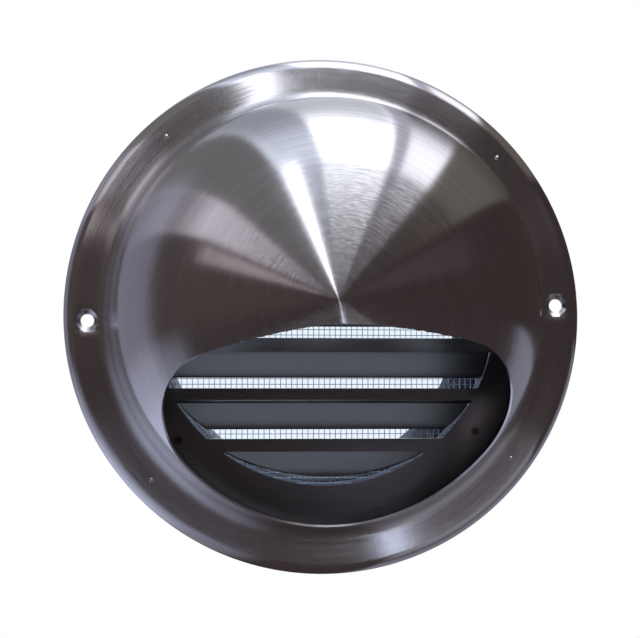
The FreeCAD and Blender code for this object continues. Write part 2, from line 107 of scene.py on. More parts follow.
# Louvre plate
PLATE_SHEET = 0.6 * MM
PLATE_FRONT = PLATE_BACK - PLATE_SHEET
PLATE_SEGMENTS = 192
PLATE_RINGS = (56.0 * MM, 63.0 * MM)
LOUVRE_RADIUS = 49.5 * MM
LOUVRE_CROWN = 2.7 * MM
LOUVRE_PITCH = 14.5 * MM
LOUVRE_ROWS = 7
LOUVRE_TURN = math.radians(2.1)
BLADE_LENGTH = 10.5 * MM
BLADE_ANGLE = math.radians(45.0)
BLADE_BEND = 0.9 * MM
BLADE_BEND_STEPS = 5
LEAST_BEND = 0.1  # radians between the sides of an edge that counts as bent
LANCE_GAP = 0.3 * MM
NOTCH_RADIUS = 3.6 * MM
NOTCH_SEGMENTS = 48
PLATE_WELD_RADIUS = 55.5 * MM
PLATE_WELD_CORE = 0.66 * MM
PLATE_WELD_HALO = 1.43 * MM
PLATE_WELD_ANGLES = (40, 141, 219, 320)

# Insect screen. The light behind makes its 0.28 mm wires look thinner, so they are drawn thinner.
WIRE_WIDTH = 0.2 * MM
WIRE_PITCH = 1.58 * MM
WIRE_SIDES = 4
WIRE_CLEARANCE = 0.98  # share of the width that is drawn, so that crossing wires stay apart

# Spigot
SPIGOT_SHEET = 0.5 * MM
SPIGOT_RADIUS = 49.0 * MM
SPIGOT_BEND = 1.5 * MM
SPIGOT_BEND_STEPS = 8
SPIGOT_SEGMENTS = 192
SPIGOT_RIM_RING = 55.0 * MM
COLLAR_RINGS = (20.0 * MM, 40.0 * MM)

# Edges and shading
EDGE_ROUND = 0.12 * MM
EDGE_ANGLE = math.radians(50)
SMOOTH_ANGLE = math.radians(35)
MERGE_GAP = 0.02 * MM


# Mesh tools

def deselect_objects():
    if bpy.context.object and bpy.context.object.mode != "OBJECT":
        bpy.ops.object.mode_set(mode="OBJECT")
    bpy.ops.object.select_all(action="DESELECT")


def edit_mesh(piece, select_type):
    """Open a piece in edit mode with nothing selected."""
    deselect_objects()
    bpy.context.view_layer.objects.active = piece
    piece.select_set(True)
    bpy.ops.object.mode_set(mode="EDIT")
    bpy.ops.mesh.select_mode(type=select_type)
    bpy.ops.mesh.select_all(action="DESELECT")


def select_where(piece, kind, test):
    """Select the vertices, edges or faces whose middle passes a test, in edit mode."""
    mesh = bmesh.from_edit_mesh(piece.data)
    for item in getattr(mesh, kind):
        if kind == "verts":
            middle = item.co
        elif kind == "edges":
            middle = (item.verts[0].co + item.verts[1].co) / 2
        else:
            middle = item.calc_center_median()
        item.select_set(test(item, middle))
    mesh.select_flush_mode()
    bmesh.update_edit_mesh(piece.data)


def arc_points(centre, radius, start, end, steps):
    """Points of an arc in the section plane, as pairs of distance from the axis and depth."""
    points = []
    for step in range(steps + 1):
        angle = start + (end - start) * step / steps
        points.append((centre[0] + radius * math.cos(angle), centre[1] + radius * math.sin(angle)))
    return points


def start_ring(name, station, segments):
    """Add a ring of edges round the duct's axis."""
    deselect_objects()
    radius, depth = station
    bpy.ops.mesh.primitive_circle_add(vertices=segments, radius=radius, location=(0, depth, 0),
                                      rotation=(math.pi / 2, 0, 0))
    piece = bpy.context.object
    piece.name = name
    piece.data.name = name
    bpy.ops.object.transform_apply(location=True, rotation=True, scale=True)
    return piece


def draw_ring_along(stations, middle=(0, 0)):
    """Extrude the selected ring from station to station round an axis along Y."""
    for (radius, depth), (next_radius, next_depth) in zip(stations, stations[1:]):
        bpy.ops.mesh.extrude_edges_move(TRANSFORM_OT_translate={"value": (0, next_depth - depth, 0)})
        ratio = next_radius / radius
        bpy.ops.transform.resize(value=(ratio, 1, ratio),
                                 center_override=(middle[0], next_depth, middle[1]))


def spin_sheet(name, stations, segments):
    """Form a thin sheet by drawing a ring along a section."""
    piece = start_ring(name, stations[0], segments)
    edit_mesh(piece, "EDGE")
    bpy.ops.mesh.select_all(action="SELECT")
    draw_ring_along(stations)
    return piece


def face_normals_out(piece, probe):
    """Make the normals agree, and turn them so that the face nearest to a probe point looks at it."""
    edit_mesh(piece, "FACE")
    bpy.ops.mesh.select_all(action="SELECT")
    bpy.ops.mesh.normals_make_consistent(inside=False)
    mesh = bmesh.from_edit_mesh(piece.data)
    nearest = min(mesh.faces, key=lambda face: (face.calc_center_median() - probe).length)
    if nearest.normal.dot(probe - nearest.calc_center_median()) < 0:
        bpy.ops.mesh.flip_normals()
    bpy.ops.object.mode_set(mode="OBJECT")


def apply_modifier(piece, kind, **settings):
    deselect_objects()
    bpy.context.view_layer.objects.active = piece
    piece.select_set(True)
    modifier = piece.modifiers.new(kind.title(), kind)
    for name, value in settings.items():
        setattr(modifier, name, value)
    bpy.ops.object.modifier_apply(modifier=modifier.name)


def finish_sheet(piece, thickness, round_edges=True):
    """Give a formed sheet its thickness behind its face, and take the sharpness off its cut edges."""
    apply_modifier(piece, "SOLIDIFY", thickness=thickness, offset=-1.0)
    if round_edges:
        apply_modifier(piece, "BEVEL", width=EDGE_ROUND, segments=2, limit_method="ANGLE",
                       angle_limit=EDGE_ANGLE)
    shade_smooth(piece)


def shade_smooth(piece):
    deselect_objects()
    bpy.context.view_layer.objects.active = piece
    piece.select_set(True)
    bpy.ops.object.shade_smooth_by_angle(angle=SMOOTH_ANGLE)


def join_pieces(pieces):
    deselect_objects()
    for piece in pieces:
        piece.select_set(True)
    bpy.context.view_layer.objects.active = pieces[0]
    bpy.ops.object.join()
    return pieces[0]


# Hood

def hood_section():
    """Outside of the hood from its back edge over the rolled lip, flange, wall and shoulder to the peak."""
    quarter = math.pi / 2
    lip = arc_points((EDGE_RADIUS - LIP_BEND, FLANGE_FACE + LIP_BEND), LIP_BEND, 0, -quarter, LIP_STEPS)
    dome_height = FLANGE_FACE - PEAK_DEPTH
    lean = math.tan(WALL_DRAFT)
    slope = math.tan(CONE_ANGLE)
    corner_radius = (FOOT_RADIUS - dome_height * lean) / (1 - slope * lean)
    corner_depth = PEAK_DEPTH + corner_radius * slope
    foot_turn = quarter - WALL_DRAFT
    foot_reach = FOOT_BEND * math.tan(foot_turn / 2)
    foot_centre = (FOOT_RADIUS + foot_reach, FLANGE_FACE - FOOT_BEND)
    foot = arc_points(foot_centre, FOOT_BEND, quarter, quarter + foot_turn, FOOT_STEPS)
    shoulder_reach = SHOULDER_BEND * math.tan((quarter - WALL_DRAFT - CONE_ANGLE) / 2)
    tangent = (corner_radius + shoulder_reach * math.sin(WALL_DRAFT),
               corner_depth + shoulder_reach * math.cos(WALL_DRAFT))
    shoulder_centre = (tangent[0] - SHOULDER_BEND * math.cos(WALL_DRAFT),
                       tangent[1] + SHOULDER_BEND * math.sin(WALL_DRAFT))
    shoulder = arc_points(shoulder_centre, SHOULDER_BEND, -WALL_DRAFT, CROWN_TILT - quarter, SHOULDER_STEPS)
    flange = [(radius, FLANGE_FACE) for radius in FLANGE_RINGS]
    wall = line_points(foot[-1], shoulder[0], WALL_STEPS)
    return [(EDGE_RADIUS, 0.0)] + lip + flange + foot + wall + shoulder + crown_points(shoulder[-1])


def crown_points(rim):
    """Slightly crowned cone from the shoulder towards the peak, in line with the shoulder where they meet."""
    radius, depth = rim
    rise = (depth - PEAK_DEPTH) / radius
    crown = (math.tan(CROWN_TILT) - rise) / radius
    points = []
    for step in range(1, CROWN_STEPS + 1):
        reach = radius + (PEAK_FAN - radius) * step / CROWN_STEPS
        points.append((reach, PEAK_DEPTH + reach * (rise - crown * (radius - reach))))
    return points


def line_points(start, end, steps):
    """Points between two ends of a straight stretch, without the ends."""
    points = []
    for step in range(1, steps):
        share = step / steps
        points.append((start[0] + (end[0] - start[0]) * share, start[1] + (end[1] - start[1]) * share))
    return points


def make_hood():
    """Draw the section round the axis, close the peak, cut the mouth and press the screw dimples."""
    stations = hood_section()
    piece = spin_sheet("pressed_hood", stations, HOOD_SEGMENTS)
    to_peak = (0, PEAK_DEPTH - stations[-1][1], 0)
    bpy.ops.mesh.extrude_edges_move(TRANSFORM_OT_translate={"value": to_peak})
    bpy.ops.mesh.merge(type="CENTER")
    cut_mouth(piece)
    for side in (-1, 1):
        press_screw_dimple(piece, side * SCREW_RADIUS)
    face_normals_out(piece, Vector((0, 2 * PEAK_DEPTH, EDGE_RADIUS / 2)))
    finish_sheet(piece, HOOD_SHEET, round_edges=False)
    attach(piece, "root")
    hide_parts("hood")
    return piece


def cut_mouth(piece):
    """Cut the front of the dome off along the slanting plane that rises from the sill."""
    edit_mesh(piece, "FACE")
    select_where(piece, "faces", lambda face, middle: middle.xz.length < FOOT_RADIUS)
    turn = Matrix.Rotation(-MOUTH_TURN, 3, "Y")
    sill = turn @ Vector((0, FLANGE_FACE - MOUTH_SILL, -FOOT_RADIUS))
    outward = turn @ Vector((0, -math.cos(MOUTH_ANGLE), -math.sin(MOUTH_ANGLE)))
    bpy.ops.mesh.bisect(plane_co=sill, plane_no=outward, clear_outer=True)
    bpy.ops.mesh.select_all(action="SELECT")
    bpy.ops.mesh.remove_doubles(threshold=MERGE_GAP)


def press_screw_dimple(piece, place):
    """Open a window in the flat flange, and close it by a ring that is pressed back round the hole."""
    centre = Vector((place, FLANGE_FACE, 0))
    rim = DIMPLE_WIDTH / 2
    hole = SCREW_HOLE / 2
    stations = [(rim + (hole - rim) * share, FLANGE_FACE + depth) for share, depth in DIMPLE_PROFILE]

    def in_window(face, middle):
        offset = middle - centre
        return (abs(offset.y) < WINDOW_DEPTH and abs(offset.x) < WINDOW_HALF
                and abs(offset.z) < WINDOW_HALF)

    def is_open_within(reach):
        return lambda edge, middle: len(edge.link_faces) < 2 and (middle - centre).length < reach

    edit_mesh(piece, "FACE")
    select_where(piece, "faces", in_window)
    bpy.ops.mesh.delete(type="FACE")
    bpy.ops.mesh.select_mode(type="EDGE")
    bpy.ops.mesh.primitive_circle_add(vertices=DIMPLE_SEGMENTS, radius=rim,
                                      location=(place, stations[0][1], 0), rotation=(math.pi / 2, 0, 0))
    select_where(piece, "edges", is_open_within(WINDOW_REACH))
    bpy.ops.mesh.bridge_edge_loops()
    select_where(piece, "edges", is_open_within(DIMPLE_WIDTH))
    draw_ring_along(stations, middle=(place, 0))


def make_weld_pips():
    """Low round pips where the hood was spot-welded to the plate behind it: one is modelled and copied."""
    half = WELD_PIP_WIDTH / 2
    profile = [(half * math.cos(tilt), FLANGE_FACE - WELD_PIP_HEIGHT * math.sin(tilt))
               for tilt in WELD_PIP_TILTS]
    piece = spin_sheet("weld_pips", profile, WELD_PIP_SEGMENTS)
    bpy.ops.mesh.edge_face_add()
    face_normals_out(piece, Vector((0, 10 * FLANGE_FACE, 0)))
    edit_mesh(piece, "FACE")
    bpy.ops.mesh.select_all(action="SELECT")
    turns = [math.radians(angle) for angle in WELD_PIP_ANGLES]
    places = [WELD_PIP_RADIUS * Vector((math.cos(turn), 0, math.sin(turn))) for turn in turns]
    bpy.ops.transform.translate(value=places[0])
    for place, next_place in zip(places, places[1:]):
        bpy.ops.mesh.duplicate_move(TRANSFORM_OT_translate={"value": next_place - place})
    shade_smooth(piece)
    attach(piece, "root")
    return piece


# Louvre plate

def make_louvre_plate():
    """Disc with a round field of lanced louvres, each bent out about its upper edge."""
    piece = start_ring("lanced_louvre_plate", (LOUVRE_RADIUS, PLATE_FRONT), PLATE_SEGMENTS)
    edit_mesh(piece, "EDGE")
    bpy.ops.mesh.select_all(action="SELECT")
    bpy.ops.mesh.edge_face_add()
    for row in range(LOUVRE_ROWS):
        bend = LOUVRE_RADIUS - LOUVRE_CROWN - row * LOUVRE_PITCH
        for height in (bend, bend - BLADE_LENGTH):
            if height > -LOUVRE_RADIUS:
                bpy.ops.mesh.select_all(action="SELECT")
                bpy.ops.mesh.bisect(plane_co=(0, PLATE_FRONT, height), plane_no=(0, 0, 1))
    bpy.ops.mesh.select_all(action="DESELECT")
    select_where(piece, "edges", lambda edge, middle: len(edge.link_faces) == 1)
    draw_ring_along([(radius, PLATE_FRONT) for radius in (LOUVRE_RADIUS, *PLATE_RINGS, PLATE_RADIUS)])
    for row in range(LOUVRE_ROWS):
        bend_louvre(piece, LOUVRE_RADIUS - LOUVRE_CROWN - row * LOUVRE_PITCH)
    bpy.ops.mesh.select_all(action="SELECT")
    bpy.ops.transform.rotate(value=-LOUVRE_TURN, orient_axis="Y", center_override=(0, 0, 0))
    face_normals_out(piece, Vector((0, 10 * PLATE_FRONT, PLATE_RADIUS)))
    finish_sheet(piece, PLATE_SHEET)
    notch_plate(piece)
    # Flat strips and blades reflect like flat sheet right up to their bends and rounded edges.
    apply_modifier(piece, "WEIGHTED_NORMAL", keep_sharp=True)
    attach(piece, "root")
    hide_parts("louvre_plate")
    return piece


def bend_louvre(piece, bend):
    """Split one band off the plate, trim its lanced edges, and turn it out about its upper edge."""
    low = max(bend - BLADE_LENGTH, -LOUVRE_RADIUS)

    def in_band(face, middle):
        return low < middle.z < bend and abs(middle.x) < LANCE_GAP and middle.xz.length < LOUVRE_RADIUS

    def on_bend(item, middle):
        return abs(middle.z - bend) < MERGE_GAP and abs(middle.y - PLATE_FRONT) < MERGE_GAP

    def is_bent(edge, middle):
        return on_bend(edge, middle) and len(edge.link_faces) == 2 and edge.calc_face_angle(0) > LEAST_BEND

    bpy.ops.mesh.select_mode(type="FACE")
    select_where(piece, "faces", in_band)
    bpy.ops.mesh.split()
    blade_height = bend - low
    half_width = math.sqrt(LOUVRE_RADIUS ** 2 - ((bend + low) / 2) ** 2)
    trim = (1 - LANCE_GAP / half_width, 1, 1 - LANCE_GAP / blade_height)
    bpy.ops.transform.resize(value=trim, center_override=(0, PLATE_FRONT, bend))
    bpy.ops.transform.rotate(value=BLADE_ANGLE, orient_axis="X", center_override=(0, PLATE_FRONT, bend))
    # Join the blade to the plate again along its upper edge, and round that edge to a bend.
    bpy.ops.mesh.select_mode(type="VERT")
    select_where(piece, "verts", on_bend)
    bpy.ops.mesh.remove_doubles(threshold=1.5 * LANCE_GAP)
    bpy.ops.mesh.select_mode(type="EDGE")
    select_where(piece, "edges", is_bent)
    bpy.ops.mesh.bevel(offset=BLADE_BEND, segments=BLADE_BEND_STEPS)


def notch_plate(piece):
    """Punch the two clearances behind the hood's screw holes."""
    for side in (-1, 1):
        deselect_objects()
        bpy.ops.mesh.primitive_cylinder_add(vertices=NOTCH_SEGMENTS, radius=NOTCH_RADIUS,
                                            depth=10 * PLATE_SHEET, rotation=(math.pi / 2, 0, 0),
                                            location=(side * SCREW_RADIUS, PLATE_FRONT, 0))
        punch = bpy.context.object
        apply_modifier(piece, "BOOLEAN", operation="DIFFERENCE", object=punch, solver="EXACT")
        bpy.data.objects.remove(punch)


# Insect screen

def make_insect_screen():
    """Plain weave: each wire passes over one crossing wire and under the next."""
    piece = join_pieces([weave_wires("warp", upright=True), weave_wires("weft", upright=False)])
    piece.name = "woven_insect_screen"
    piece.data.name = piece.name
    edit_mesh(piece, "VERT")
    bpy.ops.mesh.select_all(action="SELECT")
    bpy.ops.transform.rotate(value=-LOUVRE_TURN, orient_axis="Y", center_override=(0, 0, 0))
    bpy.ops.mesh.normals_make_consistent(inside=False)
    bpy.ops.object.mode_set(mode="OBJECT")
    bpy.ops.object.shade_smooth()
    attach(piece, "root")
    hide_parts("insect_screen")
    return piece


def weave_wires(name, upright):
    """One waved wire over two crossings, repeated along its length and then side by side, cut to a disc."""
    middle_depth = (PLATE_BACK + SCREEN_BACK) / 2
    swing = WIRE_WIDTH / 2 * (1 if upright else -1)
    crossings = 2 * math.ceil(SCREEN_RADIUS / WIRE_PITCH / 2)
    reach = crossings * WIRE_PITCH
    deselect_objects()
    bpy.ops.mesh.primitive_circle_add(vertices=WIRE_SIDES, radius=WIRE_WIDTH / 2 * WIRE_CLEARANCE,
                                      location=(-reach, middle_depth + swing, -reach),
                                      rotation=(0, math.pi / 2, 0))
    wire = bpy.context.object
    wire.name = name
    bpy.ops.object.transform_apply(location=True, rotation=True, scale=True)
    edit_mesh(wire, "EDGE")
    bpy.ops.mesh.select_all(action="SELECT")
    for rise in (-1, -1, 1, 1):
        step = (WIRE_PITCH / 2, rise * swing, 0)
        bpy.ops.mesh.extrude_edges_move(TRANSFORM_OT_translate={"value": step})
    bpy.ops.object.mode_set(mode="OBJECT")
    apply_modifier(wire, "ARRAY", count=crossings, use_relative_offset=False, use_constant_offset=True,
                   constant_offset_displace=(2 * WIRE_PITCH, 0, 0), use_merge_vertices=True,
                   merge_threshold=MERGE_GAP)
    lay_wires_side_by_side(wire, crossings)
    trim_wires_to_disc(wire)
    if upright:
        edit_mesh(wire, "VERT")
        bpy.ops.mesh.select_all(action="SELECT")
        bpy.ops.transform.rotate(value=math.pi / 2, orient_axis="Y", center_override=(0, 0, 0))
        bpy.ops.object.mode_set(mode="OBJECT")
    return wire


def lay_wires_side_by_side(wire, crossings):
    """Add a neighbour that is shifted by one crossing, and repeat the pair across the screen."""
    edit_mesh(wire, "VERT")
    bpy.ops.mesh.select_all(action="SELECT")
    bpy.ops.mesh.duplicate_move(TRANSFORM_OT_translate={"value": (WIRE_PITCH, 0, WIRE_PITCH)})
    bpy.ops.object.mode_set(mode="OBJECT")
    apply_modifier(wire, "ARRAY", count=crossings, use_relative_offset=False, use_constant_offset=True,
                   constant_offset_displace=(0, 0, 2 * WIRE_PITCH))


def trim_wires_to_disc(wire):
    """Take away what lies outside the screen, and close the cut ends."""
    edit_mesh(wire, "VERT")
    select_where(wire, "verts", lambda vertex, middle: middle.xz.length > SCREEN_RADIUS)
    bpy.ops.mesh.delete(type="VERT")
    bpy.ops.mesh.select_all(action="SELECT")
    bpy.ops.mesh.fill_holes(sides=WIRE_SIDES)
    bpy.ops.object.mode_set(mode="OBJECT")


# Spigot

def make_spigot():
    """Rolled collar with its flange turned out against the back of the screen."""
    flange_back = spigot_low.y + SPIGOT_SHEET
    bend_centre = (SPIGOT_RADIUS + SPIGOT_BEND, flange_back + SPIGOT_BEND)
    bend = arc_points(bend_centre, SPIGOT_BEND, -math.pi / 2, -math.pi, SPIGOT_BEND_STEPS)
    rim = [(SPIGOT_RIM_RADIUS, flange_back), (SPIGOT_RIM_RING, flange_back)]
    collar = [(SPIGOT_RADIUS, depth) for depth in (*COLLAR_RINGS, SPIGOT_END)]
    piece = spin_sheet("rolled_spigot", rim + bend + collar, SPIGOT_SEGMENTS)
    face_normals_out(piece, Vector((2 * SPIGOT_RADIUS, SPIGOT_END / 2, 0)))
    finish_sheet(piece, SPIGOT_SHEET)
    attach(piece, "root")
    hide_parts("spigot")
    return piece


# Materials

# Real brushing scratches are about 0.02 mm wide, too fine to show, so they are drawn five times as wide.
SCRATCH_WIDTH = 0.1 * MM
SCRATCH_TURNS = 12.0
SCRATCH_TIP = 0.12
# Wider bands come from the brush's passes.
BAND_WIDTH = 1.1 * MM
BAND_TURNS = 2.0
# The wall looks duller in the photo, so it is drawn duller from the first depth, and fully from the second.
DULL_WALL_TOP = FLANGE_FACE - 24.0 * MM
DULL_WALL_FULL = FLANGE_FACE - 8.0 * MM
DULL_WALL_ROUGHNESS = 0.18
ROLLING_LINE = (20.0 * MM, 0.3 * MM, 0.3 * MM)
CORNER_SHADE = 0.85
STEEL_CLOUD = 9.0 * MM
DIE_MARK = 0.8 * MM
ROLLER_STIPPLE = 6.0 * MM
# Sockets of a Mix node that mixes colours
MIX_A, MIX_B, MIX_COLOUR = 6, 7, 2


def hex_colour(code):
    """Linear RGBA of an sRGB hex value."""
    channels = []
    for start in (0, 2, 4):
        value = int(code[start:start + 2], 16) / 255
        channels.append(value / 12.92 if value <= 0.04045 else ((value + 0.055) / 1.055) ** 2.4)
    return (*channels, 1.0)


def add_node(tree, kind, settings=None, links=None):
    """Add a node, set its properties or sockets, and link its sockets to other nodes' outputs."""
    node = tree.nodes.new(kind)
    for name, value in (settings or {}).items():
        if isinstance(name, str) and hasattr(node, name):
            setattr(node, name, value)
        else:
            node.inputs[name].default_value = value
    for name, source in (links or {}).items():
        tree.links.new(source, node.inputs[name])
    return node


def new_material(name):
    material = bpy.data.materials.new(name)
    material.use_nodes = True
    tree = material.node_tree
    return material, tree, tree.nodes["Principled BSDF"]


def distance_from_axis(tree, place):
    """Way across from the duct's axis to a place, and its length."""
    across = add_node(tree, "ShaderNodeVectorMath", {"operation": "MULTIPLY", 1: (1, 0, 1)}, {0: place})
    radius = add_node(tree, "ShaderNodeVectorMath", {"operation": "LENGTH"}, {0: across.outputs[0]})
    return across.outputs[0], radius.outputs["Value"]


def circular_brushed_stainless():
    """Stainless sheet brushed on a turntable: fine rings, and highlights drawn out along each radius."""
    material, tree, shader = new_material("circular_brushed_stainless")
    place = add_node(tree, "ShaderNodeTexCoord").outputs["Object"]
    depth = add_node(tree, "ShaderNodeSeparateXYZ", links={0: place}).outputs["Y"]
    across, radius = distance_from_axis(tree, place)
    around = add_node(tree, "ShaderNodeVectorMath", {"operation": "NORMALIZE"}, {0: across})
    along = add_node(tree, "ShaderNodeMath", {"operation": "ADD"}, {0: radius, 1: depth})
    rings = add_node(tree, "ShaderNodeCombineXYZ", links={"Y": along.outputs[0]})
    scratches = ring_noise(tree, rings, around, SCRATCH_WIDTH, SCRATCH_TURNS)
    bands = ring_noise(tree, rings, around, BAND_WIDTH, BAND_TURNS)
    colour = add_node(tree, "ShaderNodeMix",
                      {"data_type": "RGBA", MIX_A: hex_colour("b8b6b8"), MIX_B: hex_colour("cfced1")},
                      {0: bands})
    tree.links.new(colour.outputs[MIX_COLOUR], shader.inputs["Base Color"])
    polish = add_node(tree, "ShaderNodeMapRange", {"To Min": 0.14, "To Max": 0.18}, {"Value": bands})
    low = add_node(tree, "ShaderNodeMapRange", {"From Min": DULL_WALL_TOP, "From Max": DULL_WALL_FULL,
                                                "To Max": DULL_WALL_ROUGHNESS}, {"Value": depth})
    within_foot = add_node(tree, "ShaderNodeMapRange",
                           {"From Min": FOOT_RADIUS + FOOT_BEND, "From Max": FOOT_RADIUS}, {"Value": radius})
    roughness = add_node(tree, "ShaderNodeMath", {"operation": "MULTIPLY_ADD"},
                         {0: low.outputs[0], 1: within_foot.outputs[0], 2: polish.outputs[0]})
    tree.links.new(roughness.outputs[0], shader.inputs["Roughness"])
    # Each scratch tips the surface a little inwards or outwards, never along the ring.
    tangent = add_node(tree, "ShaderNodeTangent", {"direction_type": "RADIAL", "axis": "Y"}).outputs[0]
    normal = add_node(tree, "ShaderNodeNewGeometry").outputs["Normal"]
    outward = add_node(tree, "ShaderNodeVectorMath", {"operation": "CROSS_PRODUCT"}, {0: normal, 1: tangent})
    tip = add_node(tree, "ShaderNodeMapRange", {"To Min": -SCRATCH_TIP, "To Max": SCRATCH_TIP},
                   {"Value": scratches})
    tipping = add_node(tree, "ShaderNodeVectorMath", {"operation": "SCALE"},
                       {0: outward.outputs[0], "Scale": tip.outputs[0]})
    tipped = add_node(tree, "ShaderNodeVectorMath", {"operation": "ADD"}, {0: normal, 1: tipping.outputs[0]})
    brushed = add_node(tree, "ShaderNodeVectorMath", {"operation": "NORMALIZE"}, {0: tipped.outputs[0]})
    tree.links.new(brushed.outputs[0], shader.inputs["Normal"])
    tree.links.new(tangent, shader.inputs["Tangent"])
    shader.inputs["Metallic"].default_value = 1.0
    shader.inputs["Anisotropic"].default_value = 1.0
    shader.inputs["Anisotropic Rotation"].default_value = 0.25
    return material


def ring_noise(tree, rings, around, width, turns):
    """Noise that changes within a width across the rings, and slowly along them."""
    stretched = add_node(tree, "ShaderNodeVectorMath", {"operation": "MULTIPLY", 1: (0, 1 / width, 0)},
                         {0: rings.outputs[0]})
    place = add_node(tree, "ShaderNodeVectorMath", {"operation": "MULTIPLY_ADD", 1: (turns, turns, turns)},
                     {0: around.outputs[0], 2: stretched.outputs[0]})
    noise = add_node(tree, "ShaderNodeTexNoise", {"Scale": 1.0, "Detail": 2.0, "Roughness": 0.6},
                     {"Vector": place.outputs[0]})
    return noise.outputs["Fac"]


def mill_finish_stainless():
    """Cold-rolled stainless sheet with a dull mill finish: soft reflections and faint rolling lines."""
    material, tree, shader = new_material("mill_finish_stainless")
    place = add_node(tree, "ShaderNodeTexCoord").outputs["Object"]
    # Rolling lines are about 0.3 mm wide and 20 mm long.
    stretched = add_node(tree, "ShaderNodeVectorMath", {"operation": "DIVIDE", 1: ROLLING_LINE}, {0: place})
    lines = add_node(tree, "ShaderNodeTexNoise", {"Scale": 1.0, "Detail": 3.0},
                     {"Vector": stretched.outputs[0]}).outputs["Fac"]
    roughness = add_node(tree, "ShaderNodeMapRange", {"To Min": 0.19, "To Max": 0.24}, {"Value": lines})
    tree.links.new(roughness.outputs[0], shader.inputs["Roughness"])
    relief = add_node(tree, "ShaderNodeBump", {"Strength": 1.0, "Distance": 0.001 * MM}, {"Height": lines})
    tree.links.new(relief.outputs[0], shader.inputs["Normal"])
    # The sheet's colour is far darker than bare steel: painted shade for the plate's place inside the hood.
    sheet = add_node(tree, "ShaderNodeMix",
                     {"data_type": "RGBA", MIX_A: hex_colour("6b6869"), MIX_B: hex_colour("797678")},
                     {0: lines})
    # Both faces are drawn darker towards the rim, to match the shade below the hood's wall in the photo.
    radius = distance_from_axis(tree, place)[1]
    corner = add_node(tree, "ShaderNodeMapRange",
                      {"From Min": LOUVRE_RADIUS, "From Max": FOOT_RADIUS, "To Max": CORNER_SHADE},
                      {"Value": radius})
    shaded = add_node(tree, "ShaderNodeMix", {"data_type": "RGBA", MIX_B: hex_colour("2e292a")},
                      {0: corner.outputs[0], MIX_A: sheet.outputs[MIX_COLOUR]})
    colour = add_node(tree, "ShaderNodeMix", {"data_type": "RGBA", MIX_B: hex_colour("302829")},
                      {0: share_of_welds(tree, place), MIX_A: shaded.outputs[MIX_COLOUR]})
    tree.links.new(colour.outputs[MIX_COLOUR], shader.inputs["Base Color"])
    shader.inputs["Metallic"].default_value = 1.0
    return material


def share_of_welds(tree, place):
    """All in the dark core of a spot weld between the plate and the spigot, fading through its halo."""
    nearest = None
    for angle in PLATE_WELD_ANGLES:
        turn = math.radians(angle)
        weld = Vector((PLATE_WELD_RADIUS * math.cos(turn), PLATE_FRONT, PLATE_WELD_RADIUS * math.sin(turn)))
        distance = add_node(tree, "ShaderNodeVectorMath", {"operation": "DISTANCE", 1: weld}, {0: place})
        gap = distance.outputs["Value"]
        if nearest:
            gap = add_node(tree, "ShaderNodeMath", {"operation": "MINIMUM"}, {0: nearest, 1: gap}).outputs[0]
        nearest = gap
    mark = add_node(tree, "ShaderNodeMapRange", {"From Min": PLATE_WELD_HALO, "From Max": PLATE_WELD_CORE},
                    {"Value": nearest})
    return mark.outputs[0]


def dull_rolled_steel():
    """Unpolished collar steel: satin grey outside, dull inside, where its dark colour is painted shade."""
    material, tree, shader = new_material("dull_rolled_steel")
    place = add_node(tree, "ShaderNodeTexCoord").outputs["Object"]
    # Clouds of lighter and darker steel are about 9 mm across.
    clouds = add_node(tree, "ShaderNodeTexNoise", {"Scale": 1 / STEEL_CLOUD, "Detail": 4.0, "Roughness": 0.6},
                      {"Vector": place}).outputs["Fac"]
    # The dark colour inside is painted shade, not a finish of the steel.
    shaded_inside = add_node(tree, "ShaderNodeMix",
                    {"data_type": "RGBA", MIX_A: hex_colour("242328"), MIX_B: hex_colour("3a393f")},
                    {0: clouds})
    satin = add_node(tree, "ShaderNodeMix",
                     {"data_type": "RGBA", MIX_A: hex_colour("928f90"), MIX_B: hex_colour("a8a5a6")},
                     {0: clouds})
    # The change from inside to outside lies within the sheet, where no face shows it.
    radius = distance_from_axis(tree, place)[1]
    outside = add_node(tree, "ShaderNodeMapRange", {"From Min": SPIGOT_RADIUS - 0.8 * SPIGOT_SHEET,
                                                    "From Max": SPIGOT_RADIUS - 0.2 * SPIGOT_SHEET},
                       {"Value": radius})
    colour = add_node(tree, "ShaderNodeMix", {"data_type": "RGBA"},
                      {0: outside.outputs[0], MIX_A: shaded_inside.outputs[MIX_COLOUR],
                       MIX_B: satin.outputs[MIX_COLOUR]})
    tree.links.new(colour.outputs[MIX_COLOUR], shader.inputs["Base Color"])
    roughness = add_node(tree, "ShaderNodeMapRange", {"To Min": 0.36, "To Max": 0.5}, {"Value": clouds})
    tree.links.new(roughness.outputs[0], shader.inputs["Roughness"])
    shader.inputs["Metallic"].default_value = 1.0
    # Its glancing reflections are tinted dark too: painted shade on the collar.
    shader.inputs["Specular Tint"].default_value = hex_colour("2a292f")
    return material


def drawn_steel_wire():
    """Drawn stainless wire with faint die marks, tinted blue to match the daylight on it in the photo."""
    material, tree, shader = new_material("drawn_steel_wire")
    place = add_node(tree, "ShaderNodeTexCoord").outputs["Object"]
    marks = add_node(tree, "ShaderNodeTexNoise", {"Scale": 1 / DIE_MARK, "Detail": 2.0},
                     {"Vector": place}).outputs["Fac"]
    roughness = add_node(tree, "ShaderNodeMapRange", {"To Min": 0.3, "To Max": 0.5}, {"Value": marks})
    tree.links.new(roughness.outputs[0], shader.inputs["Roughness"])
    colour = add_node(tree, "ShaderNodeMix",
                      {"data_type": "RGBA", MIX_A: hex_colour("aab6d4"), MIX_B: hex_colour("c6d2f0")},
                      {0: marks})
    tree.links.new(colour.outputs[MIX_COLOUR], shader.inputs["Base Color"])
    shader.inputs["Metallic"].default_value = 1.0
    return material


